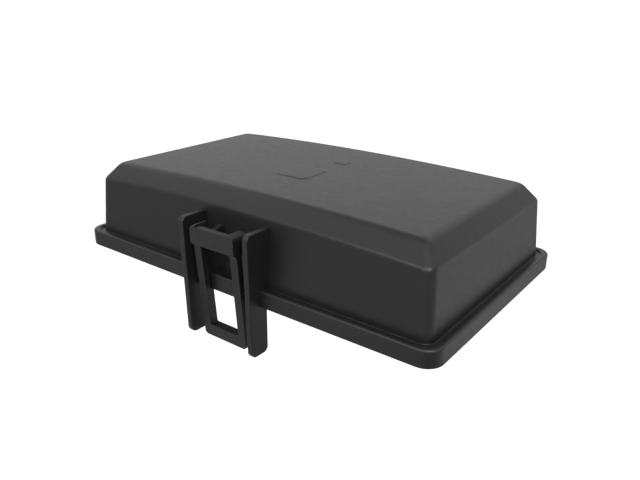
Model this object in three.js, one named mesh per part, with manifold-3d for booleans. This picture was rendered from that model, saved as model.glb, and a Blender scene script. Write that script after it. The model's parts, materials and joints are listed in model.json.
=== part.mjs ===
// Low-profile bait station: a floor pan with a tunnel wall, a lift-out bait tray and two bait rods,
// under a crowned cover that is hinged at the back and held at the front by a thumb latch.
// Millimetres, +Z up. X runs along the length, -Y is the latch side, and the origin is the
// centre of the pan's underside, which is also the level of the cover's lower edge.

import * as THREE from 'three';
import { LoftGeometry } from 'three/addons/geometries/LoftGeometry.js';
import { mergeVertices } from 'three/addons/utils/BufferGeometryUtils.js';
import Module from 'manifold-3d';

const wasm = await Module();
wasm.setup();

// ---------------------------------------------------------------- driving dimensions

const CLEARANCE = 0.3; // gap between neighbours that touch
const RUNNING_GAP = 0.08; // radial gap of a pin in its bore

// Cover
const FLANGE_HALF_X = 120;
const FLANGE_HALF_Y = 72;
const FLANGE_RADIUS = 9;
const FLANGE_HEIGHT = 9.3;
const FLANGE_EDGE_ROUND = 1.2;
const OVERHANG = 6.1; // flange edge to the root of the wall
const WALL_RADIUS = 5.2;
const WALL_TOP = 40.8; // at the two ends; the long walls rise to a crown
const WALL_CROWN = 3.6;
const DRAFT = 0.074; // how far a wall leans in, per unit of height
const TOP_RADIUS = 3;
const TOP_EDGE = 50.1;
const TOP_CROWN = 2.9;
const CHAMFER_RUN = 8.2;
const COVER_WALL = 2.6;
const CROWN_HALF_LENGTH = FLANGE_HALF_X - OVERHANG;

// Latch
const GUARD_OUTER_X = 23.8;
const GUARD_THICKNESS = 3.3;
const GUARD_TOP = 40.2;
const GUARD_BOTTOM = -26.8;
const GUARD_FRONT = -80.2;
const GUARD_BACK = -67; // below the flange
const LEVER_HALF_X = 15.1;
const LEVER_LEG = 4.9;
const LEVER_BOTTOM = -26.7;
const LEVER_TOP = 38.2;
const LEVER_THICKNESS = 3.3; // in front of the flange
const LOOP_THICKNESS = 5.2; // below the flange
const LOOP_TOP = -0.4;
const THUMB_BAR_TOP = 37.1; // between the two ears
const LATCH_AXIS_Y = -74;
const LATCH_AXIS_Z = 30;
const LATCH_PIN_RADIUS = 1.5;
const LUG_INNER_X = 7.6;
const LUG_OUTER_X = 10.7;

// Hinge
const HINGE_X = 70; // centre of each of the two hinges
const HINGE_AXIS_Y = 77;
const HINGE_AXIS_Z = 3.5;
const KNUCKLE_RADIUS = 3.5;
const HINGE_PIN_RADIUS = 1.5;
const BASE_KNUCKLE_HALF = 5.7;
const COVER_KNUCKLE_START = 6.3;
const COVER_KNUCKLE_END = 13.5;

// Entry holes, in the left end and in the back
const ENTRY_WIDTH = 32;
const ENTRY_HEIGHT = 25;
const ENTRY_CENTRE_Z = 26;
const LEFT_ENTRY_Y = 44;
const REAR_ENTRY_X = 76;

// Floor pan
const PAN_HALF_X = 116.2;
const PAN_HALF_Y = 68.2;
const PAN_THICKNESS = 3;
const RIM_HALF_X = 110;
const RIM_HALF_Y = 62;
const RIM_THICKNESS = 2.2;
const RIM_TOP = 12;
const SCREW_X = 98;
const SCREW_Y = 44;
const SCREW_BOSS_TOP = 4.5;

// Tunnel wall
const TUNNEL_WALL_Y = 24;
const TUNNEL_WALL_THICKNESS = 2.4;
const TUNNEL_WALL_HALF_X = 105.5;
const TUNNEL_WALL_TOP = 40;
const DOORWAY_X = 78;
const DOORWAY_WIDTH = 30;

// Bait tray, rods and blocks
const TRAY_CENTRE_Y = -19;
const TRAY_HALF_X = 52;
const TRAY_HALF_Y = 36.5;
const TRAY_BOTTOM = PAN_THICKNESS + CLEARANCE;
const TRAY_TOP = 17;
const TRAY_WALL = 1.8;
const ROD_RADIUS = 2;
const ROD_Z = 20;
const ROD_OFFSET_Y = 18; // each rod's distance from the middle of the tray
const BLOCK_LENGTH = 29;
const BLOCK_PITCH = 31;
const BLOCK_HALF_Y = 12;
const BLOCK_HALF_Z = 11;

// Service card, held under the top of the cover
const CARD_HALF_X = 39;
const CARD_HALF_Y = 24.4;
const CARD_Z = 45.2;
const CARD_THICKNESS = 0.7;

// ---------------------------------------------------------------- materials

const coverPlastic = new THREE.MeshStandardMaterial({ color: 0x2c2c2e, roughness: 0.55, metalness: 0 });
const latchPlastic = new THREE.MeshStandardMaterial({ color: 0x29292b, roughness: 0.5, metalness: 0 });
const panPlastic = new THREE.MeshStandardMaterial({ color: 0x252627, roughness: 0.65, metalness: 0 });
const trayPlastic = new THREE.MeshStandardMaterial({ color: 0x3a3c3d, roughness: 0.5, metalness: 0 });
const steel = new THREE.MeshStandardMaterial({ color: 0xb9bcbf, roughness: 0.35, metalness: 1 });
const rubber = new THREE.MeshStandardMaterial({ color: 0x151515, roughness: 0.85, metalness: 0 });
const bait = new THREE.MeshStandardMaterial({ color: 0x2f7f86, roughness: 0.9, metalness: 0 });
const card = new THREE.MeshStandardMaterial({ color: 0xe9e6da, roughness: 0.8, metalness: 0 });

// ---------------------------------------------------------------- solids

// The closed solid of a geometry: shared vertices merged, triangles of no area left out.
function solidOf(geometry) {
  const bare = new THREE.BufferGeometry().copy(geometry);
  bare.deleteAttribute('normal');
  bare.deleteAttribute('uv');
  const merged = mergeVertices(bare, 1e-4);
  const index = merged.index.array;
  const triangles = [];
  for (let i = 0; i < index.length; i += 3) {
    const [a, b, c] = index.slice(i, i + 3);
    if (a !== b && b !== c && c !== a) {
      triangles.push(a, b, c);
    }
  }
  return new wasm.Manifold(new wasm.Mesh({
    numProp: 3,
    vertProperties: merged.attributes.position.array,
    triVerts: new Uint32Array(triangles),
  }));
}

function geometryOf(solid) {
  const mesh = solid.getMesh();
  const geometry = new THREE.BufferGeometry();
  geometry.setAttribute('position', new THREE.BufferAttribute(mesh.vertProperties, 3));
  geometry.setIndex(new THREE.BufferAttribute(mesh.triVerts, 1));
  geometry.computeVertexNormals();
  return geometry;
}

function join(...geometries) {
  return geometries.map(solidOf).reduce((sum, solid) => sum.add(solid));
}

function cut(solid, ...geometries) {
  return geometries.map(solidOf).reduce((rest, tool) => rest.subtract(tool), solid);
}

// ---------------------------------------------------------------- outlines and prisms

function polygon(points) {
  return new THREE.Shape(points.map(([x, y]) => new THREE.Vector2(x, y)));
}

function roundedRectangle(halfX, halfY, radius, centreX = 0, centreY = 0) {
  const right = centreX + halfX - radius;
  const left = centreX - halfX + radius;
  const top = centreY + halfY - radius;
  const bottom = centreY - halfY + radius;
  const shape = new THREE.Shape();
  shape.absarc(right, top, radius, 0, Math.PI / 2);
  shape.absarc(left, top, radius, Math.PI / 2, Math.PI);
  shape.absarc(left, bottom, radius, Math.PI, Math.PI * 1.5);
  shape.absarc(right, bottom, radius, Math.PI * 1.5, Math.PI * 2);
  shape.closePath();
  return shape;
}

function extrude(shape, depth, curveSegments = 5) {
  return new THREE.ExtrudeGeometry(shape, { depth, bevelEnabled: false, curveSegments });
}

// A plan outline raised from z = low to z = high.
function alongZ(shape, low, high, curveSegments) {
  return extrude(shape, high - low, curveSegments).translate(0, 0, low);
}

// A (y, z) outline swept from x = low to x = high.
function alongX(shape, low, high, curveSegments) {
  const turn = new THREE.Matrix4().makeBasis(
    new THREE.Vector3(0, 1, 0),
    new THREE.Vector3(0, 0, 1),
    new THREE.Vector3(1, 0, 0),
  );
  return extrude(shape, high - low, curveSegments).applyMatrix4(turn).translate(low, 0, 0);
}

// An (x, z) outline swept from y = low to y = high.
function alongY(shape, low, high, curveSegments) {
  const turn = new THREE.Matrix4().makeBasis(
    new THREE.Vector3(1, 0, 0),
    new THREE.Vector3(0, 0, 1),
    new THREE.Vector3(0, -1, 0),
  );
  return extrude(shape, high - low, curveSegments).applyMatrix4(turn).translate(0, high, 0);
}

function box(lowX, highX, lowY, highY, lowZ, highZ) {
  const geometry = new THREE.BoxGeometry(highX - lowX, highY - lowY, highZ - lowZ);
  return geometry.translate((lowX + highX) / 2, (lowY + highY) / 2, (lowZ + highZ) / 2);
}

function rodAlongX(radius, lowX, highX, y, z, sides = 20) {
  const geometry = new THREE.CylinderGeometry(radius, radius, highX - lowX, sides);
  return geometry.rotateZ(Math.PI / 2).translate((lowX + highX) / 2, y, z);
}

function rodAlongZ(radius, x, y, lowZ, highZ, sides = 20) {
  const geometry = new THREE.CylinderGeometry(radius, radius, highZ - lowZ, sides);
  return geometry.rotateX(Math.PI / 2).translate(x, y, (lowZ + highZ) / 2);
}

// A radius and height profile turned about the Z axis.
function turned(profile, sides) {
  const points = profile.map(([radius, height]) => new THREE.Vector2(radius, height));
  return new THREE.LatheGeometry(points, sides).rotateX(Math.PI / 2);
}

// ---------------------------------------------------------------- crowned rounded-rectangle lofts

const ARC_STEPS = 4;
const LONG_SIDE_STEPS = 10;
const SHORT_SIDE_STEPS = 2;

// One counterclockwise ring of a rounded rectangle. The crown lifts its points towards mid-length.
function ring({ halfX, halfY, radius, z, crown = 0 }) {
  const points = [];
  const place = (x, y) => {
    const lift = crown * (1 - (x / CROWN_HALF_LENGTH) ** 2);
    points.push(new THREE.Vector3(x, y, z + lift));
  };
  const corners = [[1, 1], [-1, 1], [-1, -1], [1, -1]];
  corners.forEach(([signX, signY], corner) => {
    const centreX = signX * (halfX - radius);
    const centreY = signY * (halfY - radius);
    for (let step = 0; step <= ARC_STEPS; step += 1) {
      const angle = (corner + step / ARC_STEPS) * Math.PI / 2;
      place(centreX + radius * Math.cos(angle), centreY + radius * Math.sin(angle));
    }
    const alongLength = corner % 2 === 0;
    const steps = alongLength ? LONG_SIDE_STEPS : SHORT_SIDE_STEPS;
    for (let step = 1; step < steps; step += 1) {
      const reach = 1 - 2 * step / steps;
      if (alongLength) {
        place(centreX * reach, signY * halfY);
      } else {
        place(signX * halfX, centreY * reach);
      }
    }
  });
  return points;
}

function loft(levels) {
  return new LoftGeometry(levels.map(ring));
}

function coverOuterForm() {
  const wallHalfX = FLANGE_HALF_X - OVERHANG;
  const wallHalfY = FLANGE_HALF_Y - OVERHANG;
  const lean = DRAFT * (WALL_TOP - FLANGE_HEIGHT);
  const topHalfX = wallHalfX - lean - CHAMFER_RUN;
  const topHalfY = wallHalfY - lean - CHAMFER_RUN;
  const inner = 0.5; // share of the top's size at its middle ring
  return loft([
    { halfX: 0, halfY: 0, radius: 0, z: 0 },
    { halfX: FLANGE_HALF_X, halfY: FLANGE_HALF_Y, radius: FLANGE_RADIUS, z: 0 },
    {
      halfX: FLANGE_HALF_X,
      halfY: FLANGE_HALF_Y,
      radius: FLANGE_RADIUS,
      z: FLANGE_HEIGHT - FLANGE_EDGE_ROUND,
    },
    {
      halfX: FLANGE_HALF_X - FLANGE_EDGE_ROUND,
      halfY: FLANGE_HALF_Y - FLANGE_EDGE_ROUND,
      radius: FLANGE_RADIUS - FLANGE_EDGE_ROUND,
      z: FLANGE_HEIGHT,
    },
    { halfX: wallHalfX, halfY: wallHalfY, radius: WALL_RADIUS, z: FLANGE_HEIGHT },
    {
      halfX: wallHalfX - lean,
      halfY: wallHalfY - lean,
      radius: WALL_RADIUS,
      z: WALL_TOP,
      crown: WALL_CROWN,
    },
    { halfX: topHalfX, halfY: topHalfY, radius: TOP_RADIUS, z: TOP_EDGE, crown: TOP_CROWN },
    {
      halfX: topHalfX * inner,
      halfY: topHalfY * inner,
      radius: TOP_RADIUS * inner,
      z: TOP_EDGE,
      crown: TOP_CROWN,
    },
    { halfX: 0, halfY: 0, radius: 0, z: TOP_EDGE, crown: TOP_CROWN },
  ]);
}

// The hollow inside the cover, open at the bottom, with a wider step inside the flange.
function coverHollow() {
  const stepTop = FLANGE_HEIGHT - COVER_WALL;
  const skirtX = FLANGE_HALF_X - COVER_WALL;
  const skirtY = FLANGE_HALF_Y - COVER_WALL;
  const skirtRadius = FLANGE_RADIUS - COVER_WALL;
  const wallHalfX = FLANGE_HALF_X - OVERHANG - COVER_WALL;
  const wallHalfY = FLANGE_HALF_Y - OVERHANG - COVER_WALL;
  const radius = WALL_RADIUS - COVER_WALL;
  const wallTop = WALL_TOP - 1.1; // where the inner wall meets the inner face of the chamfer
  const lean = DRAFT * (wallTop - FLANGE_HEIGHT);
  const run = CHAMFER_RUN - 1.2;
  const inner = 0.5;
  return loft([
    { halfX: 0, halfY: 0, radius: 0, z: -1 },
    { halfX: skirtX, halfY: skirtY, radius: skirtRadius, z: -1 },
    { halfX: skirtX, halfY: skirtY, radius: skirtRadius, z: stepTop },
    { halfX: wallHalfX, halfY: wallHalfY, radius, z: stepTop },
    {
      halfX: wallHalfX - lean,
      halfY: wallHalfY - lean,
      radius,
      z: wallTop,
      crown: WALL_CROWN,
    },
    {
      halfX: wallHalfX - lean - run,
      halfY: wallHalfY - lean - run,
      radius,
      z: TOP_EDGE - COVER_WALL,
      crown: TOP_CROWN,
    },
    {
      halfX: (wallHalfX - lean - run) * inner,
      halfY: (wallHalfY - lean - run) * inner,
      radius: radius * inner,
      z: TOP_EDGE - COVER_WALL,
      crown: TOP_CROWN,
    },
    { halfX: 0, halfY: 0, radius: 0, z: TOP_EDGE - COVER_WALL, crown: TOP_CROWN },
  ]);
}

// ---------------------------------------------------------------- cover details

// One of the two plates beside the lever, in side view, from inside the wall to below the flange.
function guard(side) {
  const shape = new THREE.Shape();
  shape.moveTo(-62.5, GUARD_TOP);
  shape.lineTo(GUARD_FRONT + 2.6, GUARD_TOP);
  shape.quadraticCurveTo(GUARD_FRONT, GUARD_TOP, GUARD_FRONT, GUARD_TOP - 3);
  shape.lineTo(GUARD_FRONT + 0.1, 24);
  shape.lineTo(-79.7, 7.4);
  shape.lineTo(-79, -22);
  shape.quadraticCurveTo(-78.8, GUARD_BOTTOM, -75.5, GUARD_BOTTOM);
  shape.lineTo(GUARD_BACK - 3, GUARD_BOTTOM);
  shape.quadraticCurveTo(GUARD_BACK, GUARD_BOTTOM, GUARD_BACK, GUARD_BOTTOM + 3);
  shape.lineTo(GUARD_BACK, LOOP_TOP);
  shape.lineTo(-69.6, LOOP_TOP);
  shape.lineTo(-69.6, 0.5);
  shape.lineTo(-70.6, 0.5);
  shape.lineTo(-70.6, 8);
  shape.lineTo(-64.7, 8);
  shape.closePath();
  const inner = GUARD_OUTER_X - GUARD_THICKNESS;
  return side > 0 ? alongX(shape, inner, GUARD_OUTER_X) : alongX(shape, -GUARD_OUTER_X, -inner);
}

// One of the two lugs that carry the latch pin, behind the thumb bar.
function latchLug(side) {
  const radius = 2.9;
  const shape = new THREE.Shape();
  shape.moveTo(-63, LATCH_AXIS_Z + 5);
  shape.lineTo(LATCH_AXIS_Y, LATCH_AXIS_Z + radius);
  shape.absarc(LATCH_AXIS_Y, LATCH_AXIS_Z, radius, Math.PI / 2, Math.PI * 1.5);
  shape.lineTo(-64, LATCH_AXIS_Z - 5);
  shape.closePath();
  return side > 0
    ? alongX(shape, LUG_INNER_X, LUG_OUTER_X, 8)
    : alongX(shape, -LUG_OUTER_X, -LUG_INNER_X, 8);
}

// The cover's half of one hinge: two knuckles joined to the back of the flange.
function coverKnuckles(centreX) {
  const parts = [];
  for (const side of [-1, 1]) {
    const near = centreX + side * COVER_KNUCKLE_START;
    const far = centreX + side * COVER_KNUCKLE_END;
    const low = Math.min(near, far);
    const high = Math.max(near, far);
    parts.push(rodAlongX(KNUCKLE_RADIUS, low, high, HINGE_AXIS_Y, HINGE_AXIS_Z));
    parts.push(box(low, high, FLANGE_HALF_Y - 1, HINGE_AXIS_Y, 0, 2 * HINGE_AXIS_Z));
  }
  return parts;
}

function entryOutline(centre, margin = 0) {
  const halfWidth = ENTRY_WIDTH / 2 + margin;
  const halfHeight = ENTRY_HEIGHT / 2 + margin;
  return roundedRectangle(halfWidth, halfHeight, 4 + margin, centre, ENTRY_CENTRE_Z);
}

// The two rails under the top that the service card slides into.
function cardRail(side) {
  const wall = CARD_HALF_Y + CLEARANCE;
  const outline = polygon([
    [wall, TOP_EDGE + 1],
    [wall, CARD_Z - CLEARANCE],
    [wall - 1.8, CARD_Z - CLEARANCE],
    [wall - 1.8, CARD_Z - 1.1],
    [wall + 2, CARD_Z - 1.1],
    [wall + 2, TOP_EDGE + 1],
  ].map(([y, z]) => [side * y, z]));
  return alongX(outline, -CARD_HALF_X + 1, CARD_HALF_X - 1);
}

// Two plain raised pads on the top, one large and one small.
function topPads() {
  const level = TOP_EDGE + TOP_CROWN + 0.4;
  const root = TOP_EDGE + TOP_CROWN - 1;
  return [
    alongZ(roundedRectangle(11.5, 12.5, 5, 1.7, -11.6), root, level, 6),
    alongZ(roundedRectangle(5.5, 4.5, 2.5, 7, 20), root, level - 0.05, 4),
  ];
}

function coverShell() {
  let solid = join(
    coverOuterForm(),
    alongX(entryOutline(LEFT_ENTRY_Y, 3), -115, -111),
    alongY(entryOutline(REAR_ENTRY_X, 3), 63, 67),
  );
  solid = cut(solid, coverHollow());
  solid = solid.add(join(
    guard(-1),
    guard(1),
    latchLug(-1),
    latchLug(1),
    ...coverKnuckles(-HINGE_X),
    ...coverKnuckles(HINGE_X),
    cardRail(-1),
    cardRail(1),
    ...topPads(),
  ));
  const bore = HINGE_PIN_RADIUS + RUNNING_GAP;
  const notchHalf = BASE_KNUCKLE_HALF + 0.8;
  const notch = (centreX) => box(centreX - notchHalf, centreX + notchHalf, 68, 73, -1, 7.4);
  return cut(
    solid,
    alongX(entryOutline(LEFT_ENTRY_Y), -118, -104),
    alongY(entryOutline(REAR_ENTRY_X), 56, 70),
    notch(-HINGE_X),
    notch(HINGE_X),
    rodAlongX(bore, -HINGE_X - 20, HINGE_X + 20, HINGE_AXIS_Y, HINGE_AXIS_Z),
    rodAlongX(LATCH_PIN_RADIUS + RUNNING_GAP, -20, 20, LATCH_AXIS_Y, LATCH_AXIS_Z),
  );
}

// ---------------------------------------------------------------- latch

function latchLever() {
  const frontOutline = roundedRectangle(
    LEVER_HALF_X,
    (LEVER_TOP - LEVER_BOTTOM) / 2,
    3.6,
    0,
    (LEVER_TOP + LEVER_BOTTOM) / 2,
  );
  const windowTop = 26.8;
  const windowBottom = -19.7;
  frontOutline.holes.push(roundedRectangle(
    LEVER_HALF_X - LEVER_LEG,
    (windowTop - windowBottom) / 2,
    0.8,
    0,
    (windowTop + windowBottom) / 2,
  ));
  const earBack = LATCH_AXIS_Y + 3;
  const side = new THREE.Shape();
  side.moveTo(-79.8, LEVER_TOP);
  side.quadraticCurveTo(-80.8, LEVER_TOP, -80.8, LEVER_TOP - 1.2);
  side.lineTo(-80.7, 28.2);
  side.lineTo(-78.2, 23.6);
  side.lineTo(-74.3, LEVER_BOTTOM);
  side.lineTo(-74.3 + LOOP_THICKNESS, LEVER_BOTTOM);
  side.lineTo(-76.3 + LOOP_THICKNESS, LOOP_TOP);
  side.lineTo(-76.3 + LEVER_THICKNESS, LOOP_TOP);
  side.lineTo(-78.2 + LEVER_THICKNESS, 23.6);
  side.lineTo(LATCH_AXIS_Y, LATCH_AXIS_Z - 3);
  side.absarc(LATCH_AXIS_Y, LATCH_AXIS_Z, 3, -Math.PI / 2, 0);
  side.lineTo(earBack, LEVER_TOP - 1.5);
  side.lineTo(earBack - 1.5, LEVER_TOP);
  side.closePath();
  const earInner = LUG_OUTER_X + 0.6;
  const barBack = -77.4;
  const body = solidOf(alongY(frontOutline, -84, -68))
    .intersect(solidOf(alongX(side, -LEVER_HALF_X, LEVER_HALF_X, 6)));
  return cut(
    body,
    box(-earInner, earInner, barBack, -60, 25.5, LEVER_TOP + 1),
    box(-earInner, earInner, -84, -60, THUMB_BAR_TOP, LEVER_TOP + 1),
    rodAlongX(LATCH_PIN_RADIUS + RUNNING_GAP, -20, 20, LATCH_AXIS_Y, LATCH_AXIS_Z),
  );
}

function latchPin() {
  const half = LEVER_HALF_X - 0.3;
  return solidOf(rodAlongX(LATCH_PIN_RADIUS, -half, half, LATCH_AXIS_Y, LATCH_AXIS_Z));
}

// A torsion spring on the latch pin, with one leg on the thumb bar and one on the wall.
function latchSpring() {
  const wireRadius = 0.45;
  const coilRadius = 2.15;
  const turns = 4.25;
  const stepsPerTurn = 8;
  const halfLength = 6.4;
  const points = [new THREE.Vector3(-halfLength, LATCH_AXIS_Y - coilRadius, LATCH_AXIS_Z + 6)];
  const steps = turns * stepsPerTurn;
  for (let step = 0; step <= steps; step += 1) {
    const angle = Math.PI + 2 * Math.PI * step / stepsPerTurn;
    points.push(new THREE.Vector3(
      -halfLength + 2 * halfLength * step / steps,
      LATCH_AXIS_Y + coilRadius * Math.cos(angle),
      LATCH_AXIS_Z + coilRadius * Math.sin(angle),
    ));
  }
  points.push(new THREE.Vector3(halfLength, -65.6, LATCH_AXIS_Z - coilRadius - 0.6));
  const path = new THREE.CatmullRomCurve3(points, false, 'centripetal');
  const section = new THREE.Shape().absarc(0, 0, wireRadius, 0, 2 * Math.PI);
  const wire = new THREE.ExtrudeGeometry(section, {
    extrudePath: path,
    steps: 44,
    curveSegments: 3,
    bevelEnabled: false,
  });
  return solidOf(wire);
}

function serviceCard() {
  const outline = roundedRectangle(CARD_HALF_X, CARD_HALF_Y, 2);
  return solidOf(alongZ(outline, CARD_Z, CARD_Z + CARD_THICKNESS, 3));
}

// ---------------------------------------------------------------- pan, hinge pins and screws

function panRim() {
  const shape = roundedRectangle(RIM_HALF_X, RIM_HALF_Y, 4.5);
  shape.holes.push(roundedRectangle(RIM_HALF_X - RIM_THICKNESS, RIM_HALF_Y - RIM_THICKNESS, 2.3));
  return alongZ(shape, PAN_THICKNESS - 1, RIM_TOP);
}

function baseKnuckle(centreX) {
  const low = centreX - BASE_KNUCKLE_HALF;
  const high = centreX + BASE_KNUCKLE_HALF;
  return [
    rodAlongX(KNUCKLE_RADIUS, low, high, HINGE_AXIS_Y, HINGE_AXIS_Z),
    box(low, high, PAN_HALF_Y - 1, HINGE_AXIS_Y, 0, HINGE_AXIS_Z),
  ];
}

// The upright guides that the tunnel wall drops into, in the middle and at both ends.
function wallGuides() {
  const reach = TUNNEL_WALL_THICKNESS / 2 + 0.4;
  const spans = [[-RIM_HALF_X + 1, -101], [-3, 3], [101, RIM_HALF_X - 1]];
  const guides = [];
  for (const [low, high] of spans) {
    guides.push(box(low, high, TUNNEL_WALL_Y - reach - 2.2, TUNNEL_WALL_Y - reach, 2, 14));
    guides.push(box(low, high, TUNNEL_WALL_Y + reach, TUNNEL_WALL_Y + reach + 2.2, 2, 14));
  }
  return guides;
}

// Four low blocks that keep the tray from sliding sideways.
function trayLocators() {
  const locators = [];
  for (const side of [-1, 1]) {
    for (const end of [-1, 1]) {
      const x = side * (TRAY_HALF_X + 2.5);
      const y = TRAY_CENTRE_Y + end * 30;
      locators.push(box(x - 1.5, x + 1.5, y - 5, y + 5, 2, 8));
    }
  }
  return locators;
}

function screwPlaces() {
  return [
    [-SCREW_X, -SCREW_Y],
    [SCREW_X, -SCREW_Y],
    [-SCREW_X, SCREW_Y],
    [SCREW_X, SCREW_Y],
  ];
}

function basePan() {
  const bosses = screwPlaces().map(([x, y]) => rodAlongZ(6.5, x, y, 2, SCREW_BOSS_TOP, 16));
  const holes = screwPlaces().map(([x, y]) => rodAlongZ(2.4, x, y, -1, 6, 16));
  const solid = join(
    alongZ(roundedRectangle(PAN_HALF_X, PAN_HALF_Y, 5.2), 0, PAN_THICKNESS),
    panRim(),
    ...baseKnuckle(-HINGE_X),
    ...baseKnuckle(HINGE_X),
    ...wallGuides(),
    ...trayLocators(),
    ...bosses,
  );
  const bore = HINGE_PIN_RADIUS + RUNNING_GAP;
  const notchHalf = GUARD_OUTER_X + 1.7;
  return cut(
    solid,
    rodAlongX(bore, -HINGE_X - 20, HINGE_X + 20, HINGE_AXIS_Y, HINGE_AXIS_Z),
    box(-notchHalf, notchHalf, -70, GUARD_BACK + 0.6, -1, PAN_THICKNESS + 1),
    ...holes,
  );
}

// A headed pin, its head at the outer end.
function hingePin(side) {
  const length = 2 * COVER_KNUCKLE_END + 0.6;
  const profile = [
    [0, 0],
    [1.2, 0],
    [HINGE_PIN_RADIUS, 0.5],
    [HINGE_PIN_RADIUS, length],
    [2.7, length],
    [2.7, length + 0.9],
    [2.1, length + 1.4],
    [0, length + 1.4],
  ];
  const pin = turned(profile, 20).rotateY(side * Math.PI / 2);
  const start = side * (HINGE_X - COVER_KNUCKLE_END - 0.3);
  return solidOf(pin.translate(start, HINGE_AXIS_Y, HINGE_AXIS_Z));
}

function anchorScrew(x, y) {
  const headBottom = SCREW_BOSS_TOP + 1.5;
  const profile = [
    [0, -8],
    [0.6, -7.4],
    [2, -4],
    [2, headBottom],
    [4.1, headBottom],
    [4.1, headBottom + 1.1],
    [3.2, headBottom + 2.2],
    [0, headBottom + 2.6],
  ];
  const recessTop = headBottom + 3;
  const recessBottom = headBottom + 1.1;
  return cut(
    solidOf(turned(profile, 16)),
    box(-1.9, 1.9, -0.45, 0.45, recessBottom, recessTop),
    box(-0.45, 0.45, -1.9, 1.9, recessBottom, recessTop),
  ).translate([x, y, 0]);
}

function screwWasher(x, y) {
  const low = SCREW_BOSS_TOP + 0.2;
  const high = low + 1.1;
  const profile = [[2.3, low], [5.2, low], [5.2, high - 0.3], [4.9, high], [2.3, high], [2.3, low]];
  return solidOf(turned(profile, 16).translate(x, y, 0));
}

// ---------------------------------------------------------------- inside the station

function tunnelWall() {
  const bottom = PAN_THICKNESS + CLEARANCE;
  const end = TUNNEL_WALL_HALF_X;
  const outline = polygon([
    [-end, bottom],
    [end, bottom],
    [end, TUNNEL_WALL_TOP - 7],
    [end - 7, TUNNEL_WALL_TOP],
    [-end + 7, TUNNEL_WALL_TOP],
    [-end, TUNNEL_WALL_TOP - 7],
  ]);
  for (const side of [-1, 1]) {
    outline.holes.push(roundedRectangle(DOORWAY_WIDTH / 2, 12.5, 6, side * DOORWAY_X, 18.5));
  }
  const half = TUNNEL_WALL_THICKNESS / 2;
  return solidOf(alongY(outline, TUNNEL_WALL_Y - half, TUNNEL_WALL_Y + half));
}

// One raised seat, with a notch open at the top, for the end of a rod.
function rodSeat(side, rodY) {
  const outer = side * TRAY_HALF_X;
  const inner = side * (TRAY_HALF_X - 3.4);
  return box(
    Math.min(outer, inner),
    Math.max(outer, inner),
    rodY - 6.5,
    rodY + 6.5,
    TRAY_BOTTOM + 1,
    ROD_Z + 4.5,
  );
}

function rodNotch(rodY) {
  const half = ROD_RADIUS + 0.25;
  const shape = new THREE.Shape();
  shape.moveTo(rodY + half, ROD_Z + 6);
  shape.lineTo(rodY - half, ROD_Z + 6);
  shape.lineTo(rodY - half, ROD_Z);
  shape.absarc(rodY, ROD_Z, half, Math.PI, 2 * Math.PI);
  shape.closePath();
  return alongX(shape, -TRAY_HALF_X - 1, TRAY_HALF_X + 1);
}

function baitTray() {
  const outer = roundedRectangle(TRAY_HALF_X, TRAY_HALF_Y, 6, 0, TRAY_CENTRE_Y);
  const inner = roundedRectangle(
    TRAY_HALF_X - TRAY_WALL,
    TRAY_HALF_Y - TRAY_WALL,
    6 - TRAY_WALL,
    0,
    TRAY_CENTRE_Y,
  );
  const rods = [TRAY_CENTRE_Y - ROD_OFFSET_Y, TRAY_CENTRE_Y + ROD_OFFSET_Y];
  const hollow = alongZ(inner, TRAY_BOTTOM + TRAY_WALL, TRAY_TOP + 1);
  const shell = cut(solidOf(alongZ(outer, TRAY_BOTTOM, TRAY_TOP)), hollow);
  const seats = rods.flatMap((y) => [rodSeat(-1, y), rodSeat(1, y)]);
  return cut(shell.add(join(...seats)), ...rods.map(rodNotch));
}

// A straight wire with its right-hand end turned up as a finger pull.
function baitRod(y) {
  const bend = 4;
  const bendX = TRAY_HALF_X + 1.5;
  const points = [
    [-TRAY_HALF_X - 2.5, ROD_Z],
    [-20, ROD_Z],
    [20, ROD_Z],
    [bendX - 4, ROD_Z],
    [bendX, ROD_Z],
    [bendX + bend * Math.sin(Math.PI / 4), ROD_Z + bend * (1 - Math.cos(Math.PI / 4))],
    [bendX + bend, ROD_Z + bend],
    [bendX + bend, ROD_Z + bend + 8],
  ].map(([x, z]) => new THREE.Vector3(x, y, z));
  const path = new THREE.CatmullRomCurve3(points, false, 'centripetal');
  const section = new THREE.Shape().absarc(0, 0, ROD_RADIUS, 0, 2 * Math.PI);
  return solidOf(new THREE.ExtrudeGeometry(section, {
    extrudePath: path,
    steps: 24,
    curveSegments: 4,
    bevelEnabled: false,
  }));
}

// A moulded wax block with grooved sides, threaded on its rod.
function baitBlock(x, y) {
  const groove = 1.3;
  const outline = [];
  const sides = [[1, 0], [0, 1], [-1, 0], [0, -1]];
  sides.forEach(([nx, ny]) => {
    const out = nx !== 0 ? BLOCK_HALF_Y : BLOCK_HALF_Z;
    const across = nx !== 0 ? BLOCK_HALF_Z : BLOCK_HALF_Y;
    const steps = [[-across + 2.5, 0], [-5, 0], [-4, groove], [-3, 0], [3, 0], [4, groove], [5, 0]];
    steps.push([across - 2.5, 0]);
    for (const [along, depth] of steps) {
      const reach = out - depth;
      outline.push([y + nx * reach - ny * along, ROD_Z + ny * reach + nx * along]);
    }
  });
  const low = x - BLOCK_LENGTH / 2;
  const high = x + BLOCK_LENGTH / 2;
  return cut(
    solidOf(alongX(polygon(outline), low, high)),
    rodAlongX(ROD_RADIUS + 0.35, low - 1, high + 1, y, ROD_Z, 14),
  );
}

// ---------------------------------------------------------------- assembly

const group = new THREE.Group();

function add(name, solid, material) {
  const mesh = new THREE.Mesh(geometryOf(solid), material);
  mesh.name = name;
  group.add(mesh);
}

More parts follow.
